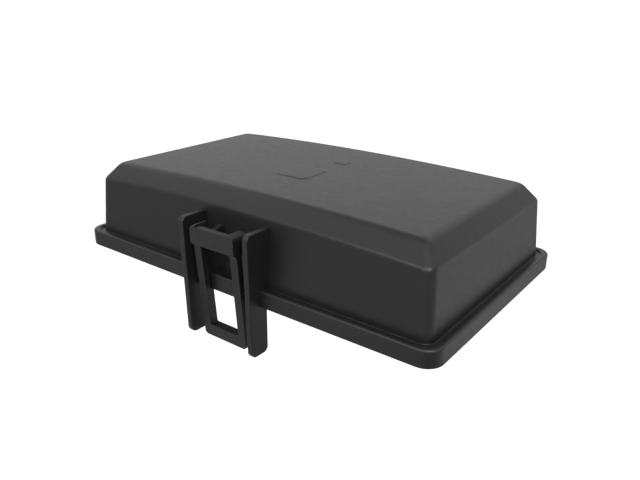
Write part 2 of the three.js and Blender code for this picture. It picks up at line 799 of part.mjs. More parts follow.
add('base_pan', basePan(), panPlastic);
add('tunnel_wall', tunnelWall(), panPlastic);
add('hinge_pin_left', hingePin(-1), steel);
add('hinge_pin_right', hingePin(1), steel);
screwPlaces().forEach(([x, y], place) => {
  add(`anchor_screw_${place + 1}`, anchorScrew(x, y), steel);
  add(`screw_washer_${place + 1}`, screwWasher(x, y), rubber);
});

add('cover_shell', coverShell(), coverPlastic);
add('latch_pin', latchPin(), steel);
add('latch_spring', latchSpring(), steel);
add('service_card', serviceCard(), card);

add('latch_lever', latchLever(), latchPlastic);

add('bait_tray', baitTray(), trayPlastic);
const rows = [
  ['front', TRAY_CENTRE_Y - ROD_OFFSET_Y],
  ['rear', TRAY_CENTRE_Y + ROD_OFFSET_Y],
];
for (const [row, y] of rows) {
  add(`bait_rod_${row}`, baitRod(y), steel);
  for (const place of [-1, 0, 1]) {
    add(`bait_block_${row}_${place + 2}`, baitBlock(place * BLOCK_PITCH, y), bait);
  }
}

export default group;
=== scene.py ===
"""Looks of the low-profile bait station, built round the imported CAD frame. Shapes are given in
millimetres in the frame's own axes (X along the length, -Y the latch side, Z up)."""

import json
import math

import bmesh
import bpy
from mathutils import Matrix, Vector, noise


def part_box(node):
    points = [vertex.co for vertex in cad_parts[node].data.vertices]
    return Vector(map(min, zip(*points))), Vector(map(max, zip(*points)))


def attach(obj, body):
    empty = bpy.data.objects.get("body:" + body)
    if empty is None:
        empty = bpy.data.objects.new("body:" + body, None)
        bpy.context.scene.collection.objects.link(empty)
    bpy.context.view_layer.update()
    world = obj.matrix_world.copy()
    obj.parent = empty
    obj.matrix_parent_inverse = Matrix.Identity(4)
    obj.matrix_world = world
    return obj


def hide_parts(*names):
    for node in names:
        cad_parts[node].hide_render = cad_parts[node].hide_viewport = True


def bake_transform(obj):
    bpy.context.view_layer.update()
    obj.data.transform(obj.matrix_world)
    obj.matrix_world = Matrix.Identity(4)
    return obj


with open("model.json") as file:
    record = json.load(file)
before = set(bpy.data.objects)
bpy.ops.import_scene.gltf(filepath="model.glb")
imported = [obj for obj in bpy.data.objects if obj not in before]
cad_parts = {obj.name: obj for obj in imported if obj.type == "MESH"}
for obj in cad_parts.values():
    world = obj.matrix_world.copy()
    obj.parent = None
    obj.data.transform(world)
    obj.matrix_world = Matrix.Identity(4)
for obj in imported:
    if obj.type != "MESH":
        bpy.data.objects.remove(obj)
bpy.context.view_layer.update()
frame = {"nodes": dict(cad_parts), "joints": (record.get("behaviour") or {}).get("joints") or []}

MM = 0.001


def box_mm(node):
    """Lowest and highest corner of a CAD node, in millimetres."""
    low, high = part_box(node)
    return low / MM, high / MM


def joint_axis_mm(name):
    """The point on a hinge's axis, in millimetres."""
    joint = next(j for j in frame["joints"] if j["name"] == name)
    return Vector(joint["pos_m"]) / MM


# ---------------------------------------------------------------- driving dimensions

COVER_LOW, COVER_HIGH = box_mm("cover_shell")
PAN_LOW, PAN_HIGH = box_mm("base_pan")
LEVER_LOW, LEVER_HIGH = box_mm("latch_lever")
CARD_LOW, CARD_HIGH = box_mm("service_card")
HINGE = joint_axis_mm("cover_hinge")
LATCH = joint_axis_mm("latch_pivot")

HALF_X = COVER_HIGH.x
HALF_Y = HALF_X - PAN_HIGH.x - PAN_LOW.y
FLANGE_TOP = 9.3
FLANGE_RADIUS = 9.0
RADIUS_LOSS = 0.623  # how much a corner's radius shrinks per millimetre of inset, up to the wall
OVERHANG = 6.1
COVER_WALL = 2.6
DRAFT = 0.074
WALL_TOP = 40.8
WALL_CROWN = 3.6
TOP_EDGE = 50.1
TOP_CROWN = 2.9
TOP_INSET = 16.6
TOP_RADIUS = 3.0
WALL_TOP_INSET = OVERHANG + DRAFT * (WALL_TOP - FLANGE_TOP)

GUARD_OUTER_X = 23.8
GUARD_THICKNESS = 3.3
ENTRY_HALF_WIDTH = 16.0
ENTRY_HALF_HEIGHT = 12.5
ENTRY_Z = 26.0
ENTRY_RIM = 3.0
LEFT_ENTRY_Y = 44.0
LEFT_RIM_X = (-115.0, -111.5)
LEFT_CUT_X = (-119.0, -102.0)
REAR_ENTRY_X = 76.0
REAR_RIM_Y = (63.5, 67.0)
REAR_CUT_Y = (54.0, 71.0)

HINGE_X = 70.0  # from the middle to the middle of each hinge
NOTCH_HALF_WIDTH = 6.5  # room in the flange for the pan's knuckle
NOTCH_TOP = 7.4
NOTCH_Y = (68.5, 73.0)
KNUCKLE_REACH = (6.3, 13.5)  # ends of the cover's knuckles, from the hinge's middle
LUG_REACH = (7.6, 10.7)  # the same for the latch's lugs, from mid-length
LUG_RADIUS = 2.9
PIN_RADIUS = 1.5
PIN_BORE_RADIUS = 1.58

ARC_STEPS = 8
LONG_STEPS = 28
SHORT_STEPS = 8


# ---------------------------------------------------------------- meshes

def new_object(name, points, faces):
    """A mesh object from points in millimetres."""
    mesh = bpy.data.meshes.new(name)
    mesh.from_pydata([Vector(p) * MM for p in points], [], faces)
    mesh.validate()
    piece = bpy.data.objects.new(name, mesh)
    bpy.context.scene.collection.objects.link(piece)
    return piece


def edit(piece, change):
    """Runs change on the object's mesh as a bmesh."""
    bm = bmesh.new()
    bm.from_mesh(piece.data)
    change(bm)
    bmesh.ops.recalc_face_normals(bm, faces=bm.faces)
    bm.to_mesh(piece.data)
    bm.free()
    return piece


def weld(piece, distance=1e-7):
    """Joins points that lie within a distance in metres."""
    return edit(piece, lambda bm: bmesh.ops.remove_doubles(bm, verts=bm.verts, dist=distance))


def bake(piece):
    """Replaces the object's mesh by what its modifiers make of it."""
    bpy.context.view_layer.update()
    graph = bpy.context.evaluated_depsgraph_get()
    mesh = bpy.data.meshes.new_from_object(piece.evaluated_get(graph))
    piece.modifiers.clear()
    old = piece.data
    piece.data = mesh
    bpy.data.meshes.remove(old)
    return piece


def boolean(piece, tool, operation):
    """Joins or cuts the object with a closed tool, which is used up."""
    modifier = piece.modifiers.new("boolean", "BOOLEAN")
    modifier.operation = operation
    modifier.solver = "EXACT"
    modifier.object = tool
    bake(piece)
    bpy.data.objects.remove(tool)
    return piece


def round_edges(piece, width, segments=3, angle=30.0):
    """Bevels every edge that is sharper than the angle, by a width in millimetres."""
    modifier = piece.modifiers.new("bevel", "BEVEL")
    modifier.width = width * MM
    modifier.segments = segments
    modifier.limit_method = "ANGLE"
    modifier.angle_limit = math.radians(angle)
    modifier.use_clamp_overlap = True
    modifier.miter_outer = "MITER_ARC"
    return bake(piece)


def smooth(piece, angle=32.0):
    """Smooth shading that keeps edges sharper than the angle, with flat faces kept flat."""
    for polygon in piece.data.polygons:
        polygon.use_smooth = True
    piece.data.set_sharp_from_angle(angle=math.radians(angle))
    modifier = piece.modifiers.new("weighted_normals", "WEIGHTED_NORMAL")
    modifier.keep_sharp = True
    modifier.weight = 80
    return piece


def rings_to_faces(rings, length, close=False):
    """Quads between rings of the same length, listed one after the other."""
    faces = []
    count = rings if close else rings - 1
    for row in range(count):
        low = row * length
        high = (row + 1) % rings * length
        for k in range(length):
            after = (k + 1) % length
            faces.append((low + k, low + after, high + after, high + k))
    return faces


def prism(name, outline, low, high, axis):
    """An outline swept along an axis. It is given in (y, z) for X, (x, z) for Y and (x, y) for Z."""
    to_point = {
        "X": lambda a, b, c: (c, a, b),
        "Y": lambda a, b, c: (a, c, b),
        "Z": lambda a, b, c: (a, b, c),
    }[axis]
    count = len(outline)
    points = [to_point(a, b, end) for end in (low, high) for a, b in outline]
    faces = rings_to_faces(2, count)
    faces += [tuple(range(count)), tuple(range(2 * count - 1, count - 1, -1))]
    return edit(new_object(name, points, faces), lambda bm: None)


def arc(centre, radius, start, end, steps=8):
    """Points of an arc, with its angles in degrees."""
    points = []
    for step in range(steps + 1):
        angle = math.radians(start + (end - start) * step / steps)
        points.append((centre[0] + radius * math.cos(angle), centre[1] + radius * math.sin(angle)))
    return points


def rounded_rectangle(half_a, half_b, radius, centre=(0.0, 0.0), steps=8):
    """A counterclockwise outline from its half sizes and the radius of its corners."""
    a, b = half_a - radius, half_b - radius
    points = []
    for quarter, (side_a, side_b) in enumerate([(1, 1), (-1, 1), (-1, -1), (1, -1)]):
        middle = (centre[0] + side_a * a, centre[1] + side_b * b)
        points += arc(middle, radius, 90 * quarter, 90 * (quarter + 1), steps)
    return points


def fillet(path, steps=5):
    """A polyline of (a, b, radius) corners with each corner between its ends turned into a curve."""
    points = [Vector(path[0][:2])]
    for before, corner, after in zip(path, path[1:], path[2:]):
        here = Vector(corner[:2])
        back = Vector(before[:2]) - here
        ahead = Vector(after[:2]) - here
        half_turn = back.angle(ahead) / 2
        reach = min(corner[2] / math.tan(half_turn), back.length * 0.48, ahead.length * 0.48)
        start = here + back.normalized() * reach
        end = here + ahead.normalized() * reach
        for step in range(steps + 1):
            t = step / steps
            points.append(start * (1 - t) ** 2 + here * (2 * t * (1 - t)) + end * t ** 2)
    points.append(Vector(path[-1][:2]))
    return points


def turned(name, profile, steps=40):
    """A (radius, height) profile that starts and ends on the axis, turned about Z."""
    points = []
    for radius, height in profile:
        for k in range(steps):
            angle = 2 * math.pi * k / steps
            points.append((radius * math.cos(angle), radius * math.sin(angle), height))
    faces = rings_to_faces(len(profile), steps)
    return weld(new_object(name, points, faces))


def tube(name, route, radius, sides=16):
    """A round wire along a list of points, with closed ends."""
    points = []
    up = Vector((0.0, 0.0, 1.0))
    normal = None
    for k, here in enumerate(route):
        ahead = (route[min(k + 1, len(route) - 1)] - route[max(k - 1, 0)]).normalized()
        if normal is None:
            normal = up.cross(ahead) if abs(up.dot(ahead)) < 0.9 else Vector((1.0, 0.0, 0.0))
        normal = (normal - ahead * normal.dot(ahead)).normalized()
        side = ahead.cross(normal)
        for s in range(sides):
            angle = 2 * math.pi * s / sides
            points.append(here + (normal * math.cos(angle) + side * math.sin(angle)) * radius)
    faces = rings_to_faces(len(route), sides)
    last = (len(route) - 1) * sides
    faces += [tuple(range(sides)), tuple(range(last + sides - 1, last - 1, -1))]
    return edit(new_object(name, points, faces), lambda bm: None)


def fill_flats(bm):
    """Fills the wide flat faces again from their outlines, without the seams between their parts."""
    planes = []
    for face in bm.faces:
        offset = face.normal.dot(face.calc_center_median())
        known = any(face.normal.dot(n) > 0.99999 and abs(offset - d) < 2e-6 for n, d in planes)
        if len(face.verts) > 30 and not known:
            planes.append((face.normal.copy(), offset))
    for normal, distance in planes:
        flat = {
            face
            for face in bm.faces
            if face.normal.dot(normal) > 0.99999
            and abs(face.normal.dot(face.calc_center_median()) - distance) < 2e-6
        }
        outline = [edge for edge in bm.edges if sum(face in flat for face in edge.link_faces) == 1]
        bmesh.ops.delete(bm, geom=[face for face in bm.faces if face in flat], context="FACES")
        bmesh.ops.triangle_fill(bm, edges=outline, use_beauty=True, normal=normal)


def moulded_copy(name, node, width, segments=3):
    """The CAD node's shape as a moulding: flat faces made whole and sharp edges rounded."""
    piece = bpy.data.objects.new(name, frame["nodes"][node].data.copy())
    piece.data.name = name
    piece.data.materials.clear()
    bpy.context.scene.collection.objects.link(piece)

    def clean(bm):
        bmesh.ops.remove_doubles(bm, verts=bm.verts, dist=2e-6)
        bmesh.ops.dissolve_limit(
            bm,
            angle_limit=math.radians(1.0),
            verts=bm.verts,
            edges=bm.edges,
            use_dissolve_boundaries=False,
        )

    edit(piece, clean)
    return edit(round_edges(piece, width, segments, 32.0), fill_flats)


# ---------------------------------------------------------------- cover

def crown_at(z):
    """How far mid-length rises above the ends at a height: nothing at the flange."""
    if z <= FLANGE_TOP:
        return 0.0
    if z <= WALL_TOP:
        return WALL_CROWN * (z - FLANGE_TOP) / (WALL_TOP - FLANGE_TOP)
    share = min(1.0, (z - WALL_TOP) / (TOP_EDGE - WALL_TOP))
    return WALL_CROWN + (TOP_CROWN - WALL_CROWN) * share


def cover_ring(inset, z, radius, scale=1.0):
    """One counterclockwise ring round the cover, lifted towards mid-length by the crown."""
    half_x, half_y = HALF_X - inset, HALF_Y - inset
    points = []
    for quarter, (side_x, side_y) in enumerate([(1, 1), (-1, 1), (-1, -1), (1, -1)]):
        x, y = side_x * (half_x - radius), side_y * (half_y - radius)
        points += arc((x, y), radius, 90 * quarter, 90 * (quarter + 1), ARC_STEPS)
        steps = LONG_STEPS if quarter % 2 == 0 else SHORT_STEPS
        for step in range(1, steps):
            reach = 1 - 2 * step / steps
            if quarter % 2 == 0:
                points.append((x * reach, side_y * half_y))
            else:
                points.append((side_x * half_x, y * reach))
    crown = crown_at(z)
    length = HALF_X - OVERHANG
    return [
        (x * scale, y * scale, z + crown * (1 - (x * scale / length) ** 2))
        for x, y in points
    ]


def outer_radius(inset):
    """The corner radius shrinks up to the wall, stays, and shrinks again over the chamfer."""
    wall = FLANGE_RADIUS - RADIUS_LOSS * min(inset, OVERHANG)
    over_chamfer = min(1.0, max(0.0, (inset - WALL_TOP_INSET) / (TOP_INSET - WALL_TOP_INSET)))
    return wall + (TOP_RADIUS - wall) * over_chamfer


def inner_radius(inset):
    """The same for the inside, which keeps the wall's radius over the chamfer."""
    return FLANGE_RADIUS - COVER_WALL - RADIUS_LOSS * min(inset - COVER_WALL, OVERHANG)


def cover_outer_path():
    """Inset and height of the outside, from the flange's lower edge to the edge of the top."""
    bead, depth = 3.2, 1.3
    return fillet([
        (COVER_WALL, 0.0, 0.0),
        (0.0, 0.0, 0.6),
        (0.0, FLANGE_TOP, 2.0),
        (bead, FLANGE_TOP, 0.8),
        (bead + 0.6, FLANGE_TOP - depth, 0.5),
        (OVERHANG - 0.2, FLANGE_TOP - depth, 0.3),
        (WALL_TOP_INSET, WALL_TOP, 4.0),
        (TOP_INSET, TOP_EDGE, 6.0),
        (TOP_INSET + 14, TOP_EDGE, 0.0),
    ])


def cover_inner_path():
    """The same for the inside, from the edge of the ceiling to the foot of the skirt."""
    return fillet([
        (TOP_INSET + 10, TOP_EDGE - COVER_WALL, 0.0),
        (TOP_INSET + 1.2, TOP_EDGE - COVER_WALL, 3.0),
        (WALL_TOP_INSET + COVER_WALL, WALL_TOP - 1.1, 1.5),
        (OVERHANG + COVER_WALL, FLANGE_TOP - COVER_WALL, 0.6),
        (COVER_WALL, FLANGE_TOP - COVER_WALL, 1.0),
        (COVER_WALL, 0.4, 0.3),
        (COVER_WALL - 0.3, 0.0, 0.0),
    ], steps=3)


def cover_shell_mesh():
    """The shell as one closed surface: ceiling, inside, lower edge, outside and top."""
    shrink = (0.25, 0.5, 0.75)
    rings = []
    inside = cover_inner_path()
    outside = cover_outer_path()
    for scale in (0.0,) + shrink:
        rings.append(cover_ring(*inside[0], inner_radius(inside[0][0]), scale))
    rings += [cover_ring(inset, z, inner_radius(inset)) for inset, z in inside]
    rings += [cover_ring(inset, z, outer_radius(inset)) for inset, z in outside[1:]]
    for scale in shrink[::-1] + (0.0,):
        rings.append(cover_ring(*outside[-1], outer_radius(outside[-1][0]), scale))
    points = [p for ring in rings for p in ring]
    return weld(new_object("cover_moulding", points, rings_to_faces(len(rings), len(rings[0]))))


def guard_outline():
    """Side view (y, z) of a latch guard, from inside the wall to its rounded foot."""
    low, high, front, back = COVER_LOW.z, 40.2, -80.2, -67.0
    return [
        (-62.5, high),
        *arc((front + 3.0, high - 3.0), 3.0, 90, 180, 6),
        (front + 0.1, 24.0),
        (-79.7, 7.4),
        (-79.0, -22.0),
        *arc((-75.5, low + 3.5), 3.5, 180, 270, 6),
        *arc((back - 3.0, low + 3.0), 3.0, 270, 360, 6),
        (back, -0.4),
        (-69.6, -0.4),
        (-69.6, 0.5),
        (-70.6, 0.5),
        (-70.6, 8.0),
        (-64.7, 8.0),
    ]


def reach_across(side, reach):
    """A pair of distances from the middle as the low and the high end of a piece on one side."""
    return sorted(side * distance for distance in reach)


def guard(side):
    """One of the two plates that stand beside the lever and reach below the flange."""
    low, high = reach_across(side, (GUARD_OUTER_X - GUARD_THICKNESS, GUARD_OUTER_X))
    return round_edges(prism("guard", guard_outline(), low, high, "X"), 0.55, 3)


def latch_lug(side):
    """One of the two lugs on the wall that hold the latch pin."""
    outline = [
        (-63.0, LATCH.z + 5.0),
        *arc((LATCH.y, LATCH.z), LUG_RADIUS, 90, 270, 14),
        (-64.0, LATCH.z - 5.0),
    ]
    low, high = reach_across(side, LUG_REACH)
    return round_edges(prism("lug", outline, low, high, "X"), 0.3, 2)


def cover_knuckle(centre, side):
    """One hinge knuckle of the cover with the block that carries it."""
    low, high = (centre + end for end in reach_across(side, KNUCKLE_REACH))
    outline = [
        (HALF_Y - 1.0, 0.0),
        *arc((HINGE.y, HINGE.z), HINGE.z, -90, 90, 18),
        (HALF_Y - 1.0, 2 * HINGE.z),
    ]
    return round_edges(prism("knuckle", outline, low, high, "X"), 0.4, 2)


def entry_rim(axis, centre, low, high):
    """The raised rim round an entry hole."""
    half_width, half_height = ENTRY_HALF_WIDTH + ENTRY_RIM, ENTRY_HALF_HEIGHT + ENTRY_RIM
    outline = rounded_rectangle(half_width, half_height, 7, (centre, ENTRY_Z))
    return round_edges(prism("entry_rim", outline, low, high, axis), 0.8, 3)


def entry_cutter(axis, centre, low, high):
    """What is cut out of the wall for an entry hole."""
    outline = rounded_rectangle(ENTRY_HALF_WIDTH, ENTRY_HALF_HEIGHT, 4, (centre, ENTRY_Z))
    return prism("entry_cutter", outline, low, high, axis)


def pin_bore(centre, half_length):
    """What is cut out for a pin that lies along X through a point."""
    radius = PIN_BORE_RADIUS
    profile = [(0, -half_length), (radius, -half_length), (radius, half_length), (0, half_length)]
    bore = turned("bore", profile, 24)
    bore.data.transform(Matrix.Rotation(math.pi / 2, 4, "Y"))
    bore.data.transform(Matrix.Translation(centre * MM))
    return bore


def cover_moulding():
    """The whole moulding: shell, entry rims and holes, guards, lugs and hinge knuckles."""
    piece = cover_shell_mesh()
    boolean(piece, entry_rim("X", LEFT_ENTRY_Y, *LEFT_RIM_X), "UNION")
    boolean(piece, entry_rim("Y", REAR_ENTRY_X, *REAR_RIM_Y), "UNION")
    boolean(piece, entry_cutter("X", LEFT_ENTRY_Y, *LEFT_CUT_X), "DIFFERENCE")
    boolean(piece, entry_cutter("Y", REAR_ENTRY_X, *REAR_CUT_Y), "DIFFERENCE")
    for centre in (-HINGE_X, HINGE_X):
        left, right = centre - NOTCH_HALF_WIDTH, centre + NOTCH_HALF_WIDTH
        notch = [(left, -1.0), (right, -1.0), (right, NOTCH_TOP), (left, NOTCH_TOP)]
        boolean(piece, prism("notch", notch, *NOTCH_Y, "Y"), "DIFFERENCE")
        for side in (-1, 1):
            boolean(piece, cover_knuckle(centre, side), "UNION")
    for side in (-1, 1):
        boolean(piece, guard(side), "UNION")
        boolean(piece, latch_lug(side), "UNION")
    boolean(piece, pin_bore(HINGE, 80.0), "DIFFERENCE")
    boolean(piece, pin_bore(LATCH, 20.0), "DIFFERENCE")
    return smooth(weld(piece, 2e-6))


def top_pad(name, half_x, half_y, radius, centre):
    """A plain raised pad that follows the crowned top and slopes down softly at its edge."""
    rise, slope, root, sunk = 0.38, 1.7, 0.6, 0.03
    levels = [(0.0, -root)]
    for k in range(9):
        levels.append((slope * k / 8, rise * (0.5 - 0.5 * math.cos(math.pi * k / 8)) - sunk))
    rings = []
    for inset, height in levels:
        outline = rounded_rectangle(half_x - inset, half_y - inset, max(radius - inset, 0.8), centre, 10)
        rings.append([(x, y, height) for x, y in outline])
    for share in (0.6, 0.3, 0.0):
        rings.append([
            (centre[0] + (x - centre[0]) * share, centre[1] + (y - centre[1]) * share, z)
            for x, y, z in rings[len(levels) - 1]
        ])
    bottom = [[(centre[0], centre[1], -root)] * len(rings[0])]
    points = [
        (x, y, TOP_EDGE + TOP_CROWN * (1 - (x / (HALF_X - OVERHANG)) ** 2) + height)
        for ring in bottom + rings
        for x, y, height in ring
    ]
    return smooth(weld(new_object(name, points, rings_to_faces(len(rings) + 1, len(rings[0])))))


def card_rail(side):
    """One of the two L-shaped rails under the top that hold the card by its edges."""
    room, lip, lip_thickness, rail_thickness = 0.3, 1.8, 0.8, 2.0
    wall = CARD_HIGH.y + room
    lip_top = CARD_LOW.z - room
    outline = [
        (side * wall, TOP_EDGE),
        (side * wall, lip_top),
        (side * (wall - lip), lip_top),
        (side * (wall - lip), lip_top - lip_thickness),
        (side * (wall + rail_thickness), lip_top - lip_thickness),
        (side * (wall + rail_thickness), TOP_EDGE),
    ]
    name = "card_rail_front" if side < 0 else "card_rail_rear"
    return smooth(round_edges(prism(name, outline, CARD_LOW.x + 1, CARD_HIGH.x - 1, "X"), 0.2, 2))


# ---------------------------------------------------------------- latch

def latch_lever():
    """Thumb bar, ears, two legs and the bottom bar, as one moulding."""
    top, bottom = LEVER_HIGH.z, LEVER_LOW.z
    half = LEVER_HIGH.x
    leg_width = 4.9
    ear_inner = 11.3
    window_low, window_high = -19.7, 26.8
    pocket_floor, dip_floor = 25.5, 37.1
    through = (-84.0, -66.0)
    side_view = [
        *arc((-79.6, top - 1.2), 1.2, 90, 180, 5),
        (-80.7, 28.9),
        (-80.5, 28.1),
        (-78.9, 26.4),
        (-78.4, 25.6),
        (-74.3, bottom),
        (-69.1, bottom),
        (-71.1, -0.4),
        (-73.0, -0.4),
        (-74.9, 23.4),
        (LATCH.y - 1.0, LATCH.z - 2.95),
        *arc((LATCH.y, LATCH.z), 3.0, -90, 0, 6),
        (LATCH.y + 3.0, top - 1.5),
        (LATCH.y + 1.5, top),
    ]
    piece = prism("latch_lever_moulding", side_view, -half, half, "X")
    middle = (0.0, (top + bottom) / 2)
    upper = rounded_rectangle(half, (top - bottom) / 2, 3.6, middle, 6)
    lower = rounded_rectangle(half, (top - bottom) / 2, 2.2, middle, 6)
    front = [(x, z) for x, z in upper if z > middle[1]] + [(x, z) for x, z in lower if z < middle[1]]
    boolean(piece, prism("front", front, *through, "Y"), "INTERSECT")
    middle = (0.0, (window_low + window_high) / 2)
    window = rounded_rectangle(half - leg_width, (window_high - window_low) / 2, 0.8, middle, 3)
    boolean(piece, prism("window", window, *through, "Y"), "DIFFERENCE")
    for name, low, front_y in (("pocket", pocket_floor, -77.4), ("dip", dip_floor, -84.0)):
        hollow = [(-ear_inner, low), (ear_inner, low), (ear_inner, top + 1), (-ear_inner, top + 1)]
        boolean(piece, prism(name, hollow, front_y, -60.0, "Y"), "DIFFERENCE")
    round_edges(piece, 0.6, 3, 28.0)
    return smooth(piece)


def latch_pin():
    """A plain steel pin with chamfered ends."""
    low, high = box_mm("latch_pin")
    radius, length, chamfer = PIN_RADIUS, high.x - low.x, 0.3
    profile = [
        (0, 0),
        (radius - chamfer, 0),
        (radius, chamfer),
        (radius, length - chamfer),
        (radius - chamfer, length),
        (0, length),
    ]
    pin = turned("latch_pin_turned", profile, 32)
    pin.data.transform(Matrix.Rotation(math.pi / 2, 4, "Y"))
    pin.data.transform(Matrix.Translation(Vector((low.x, LATCH.y, LATCH.z)) * MM))
    return smooth(pin)


def latch_spring():
    """Torsion spring: one leg up the thumb bar, four and a quarter turns and one leg on the wall."""
    coil_radius, half_length, turns, per_turn = 2.15, 6.4, 4.25, 24
    wire_radius = 0.45
    route = [Vector((-half_length, LATCH.y - coil_radius, LATCH.z + 6.0))]
    steps = int(turns * per_turn)
    for step in range(steps + 1):
        angle = math.pi + 2 * math.pi * step / per_turn
        route.append(Vector((
            -half_length + 2 * half_length * step / steps,
            LATCH.y + coil_radius * math.cos(angle),
            LATCH.z + coil_radius * math.sin(angle),
        )))
    route.append(Vector((half_length, -65.6, LATCH.z - coil_radius - 0.6)))
    return smooth(tube("latch_spring_wire", route, wire_radius, 12), 60)


# ---------------------------------------------------------------- pins, screws, rods and bait

def hinge_pin(node, side):
    """A steel pin with a domed head, which is on its left end for side -1 and on its right for 1."""
    low, high = box_mm(node)
    length = high.x - low.x
    head = length - 1.4
    profile = [
        (0, 0),
        (PIN_RADIUS - 0.3, 0),
        (PIN_RADIUS, 0.4),
        (PIN_RADIUS, head),
        (2.6, head),
        (2.7, length - 1.3),
        (2.7, length - 0.6),
        (2.3, length - 0.15),
        (1.4, length),
        (0, length),
    ]
    pin = turned(node + "_turned", profile, 36)
    pin.data.transform(Matrix.Rotation(side * math.pi / 2, 4, "Y"))
    start = low.x if side > 0 else high.x
    pin.data.transform(Matrix.Translation(Vector((start, HINGE.y, HINGE.z)) * MM))
    return smooth(pin)


def anchor_screw(node):
    """A pan-head screw with a cross recess and a rolled thread."""
    low, high = box_mm(node)
    centre = (low + high) / 2
    head_height, dome_radius, pitch = 2.6, 5.2, 1.4
    head = high.z - head_height
    profile = [(0, low.z), (0.5, low.z + 0.7)]
    z = low.z + pitch
    while z < head - 2.2:
        core = min(1.5, 0.5 + (z - low.z) * 0.35)
        crest = min(2.0, core + 0.45)
        profile += [(core, z), (crest, z + pitch * 0.4), (crest, z + pitch * 0.5), (core, z + pitch * 0.9)]
        z += pitch
    profile += [(1.6, head - 1.0), (1.6, head), (4.0, head), (4.1, head + 0.15), (4.1, head + 1.0)]
    profile += arc((0.0, high.z - dome_radius), dome_radius, 47, 90, 8)[1:]
    profile[-1] = (0.0, high.z)
    screw = turned(node + "_turned", profile, 36)
    slot_reach, slot_half_width = 1.9, 0.42
    for half_x, half_y in ((slot_reach, slot_half_width), (slot_half_width, slot_reach)):
        outline = [(-half_x, -half_y), (half_x, -half_y), (half_x, half_y), (-half_x, half_y)]
        boolean(screw, prism("recess", outline, head + 1.0, high.z + 1, "Z"), "DIFFERENCE")
    screw.data.transform(Matrix.Translation(Vector((centre.x, centre.y, 0.0)) * MM))
    return smooth(screw)


def screw_washer(node):
    """A rubber ring with rounded edges."""
    low, high = box_mm(node)
    centre = (low + high) / 2
    hole, rim = 2.3, 5.2
    section = fillet([
        (hole, low.z, 0.0),
        (rim, low.z, 0.25),
        (rim, high.z, 0.4),
        (hole, high.z, 0.25),
        (hole, low.z, 0.0),
    ], 3)[:-1]
    steps = 36
    points = []
    for k in range(steps):
        angle = 2 * math.pi * k / steps
        for radius, z in section:
            points.append((centre.x + radius * math.cos(angle), centre.y + radius * math.sin(angle), z))
    piece = new_object(node + "_turned", points, rings_to_faces(steps, len(section), close=True))
    return smooth(edit(piece, lambda bm: None))


def bait_rod(row):
    """A bent wire: straight through the blocks, then turned up as a finger pull."""
    low, high = box_mm(f"bait_rod_{row}")
    radius, bend = 2.0, 5.0
    y = (low.y + high.y) / 2
    z = low.z + radius + 0.1
    corner = (high.x - radius - bend, z + bend)
    route = [Vector((low.x + (corner[0] - low.x) * k / 12, y, z)) for k in range(12)]
    route += [Vector((x, y, height)) for x, height in arc(corner, bend, -90, 0, 10)]
    route.append(Vector((high.x - radius, y, high.z - 0.6)))
    rod = tube(f"bait_rod_{row}_wire", route, radius, 20)
    return smooth(round_edges(rod, 0.5, 3, 50.0), 50)


def block_outline(half_y, half_z):
    """Rounded square with three ribs and two grooves on every side."""
    points = []
    count = 96
    squareness = 5
    groove_place, groove_width, groove_depth = 0.36, 0.09, 0.1
    for k in range(count):
        angle = 2 * math.pi * k / count
        c, s = math.cos(angle), math.sin(angle)
        reach = (abs(c) ** squareness + abs(s) ** squareness) ** (-1 / squareness)
        along = min(abs(c), abs(s)) / max(abs(c), abs(s))
        groove = math.exp(-(((along - groove_place) / groove_width) ** 2))
        depth = 1 - groove_depth * groove
        points.append((c * reach * depth * half_y, s * reach * depth * half_z))
    return points


def bait_block(node, seed):
    """A moulded wax block with ribbed sides, soft ends and a slightly uneven skin."""
    low, high = box_mm(node)
    centre = (low + high) / 2
    half = (high - low) / 2
    outline = block_outline(half.y - 0.2, half.z - 0.2)
    edge, end_shrink, rows = 1.8, 0.15, 14
    rings = [
        (-half.x + 0.1 + edge * (1 - math.cos(t)), 1 - end_shrink * (1 - math.sin(t)))
        for t in (0.0, 0.4, 0.8, 1.2, math.pi / 2)
    ]
    far_end = [(-x, share) for x, share in rings[::-1]]
    rings += [(-half.x + edge + (2 * half.x - 2 * edge) * k / rows, 1.0) for k in range(1, rows)]
    rings += far_end
    shares = [(rings[0][0], share * rings[0][1]) for share in (0.0, 0.45, 0.8)]
    rings = shares + rings + [(-x, share) for x, share in shares[::-1]]
    points = []
    for x, share in rings:
        for y, z in outline:
            point = Vector((x, y * share, z * share)) + centre
            wobble = noise.noise(point * 0.35 + Vector((seed * 7.0, 0, 0))) * 0.22
            wobble += noise.noise(point * 1.3) * 0.1
            inward = (centre - point).normalized()
            points.append(point + inward * (0.15 + wobble))
    faces = rings_to_faces(len(rings), len(outline))
    return smooth(weld(new_object(node + "_wax", points, faces), 1e-6), 40)


# ---------------------------------------------------------------- materials

def material(name):
    """A new Principled material: its nodes, its links and the shader."""
    made = bpy.data.materials.new(name)
    made.use_nodes = True
    nodes, links = made.node_tree.nodes, made.node_tree.links
    return made, nodes, links, nodes["Principled BSDF"]


def object_noise(nodes, links, scale, detail=4.0, roughness=0.55, stretch=(1.0, 1.0, 1.0)):
    """Noise in the object's own coordinates, with a scale per metre."""
    coordinates = nodes.new("ShaderNodeTexCoord")
    mapping = nodes.new("ShaderNodeMapping")
    mapping.inputs["Scale"].default_value = stretch
    links.new(coordinates.outputs["Object"], mapping.inputs["Vector"])
    texture = nodes.new("ShaderNodeTexNoise")
    texture.inputs["Scale"].default_value = scale
    texture.inputs["Detail"].default_value = detail
    texture.inputs["Roughness"].default_value = roughness
    links.new(mapping.outputs["Vector"], texture.inputs["Vector"])
    return texture.outputs["Fac"]


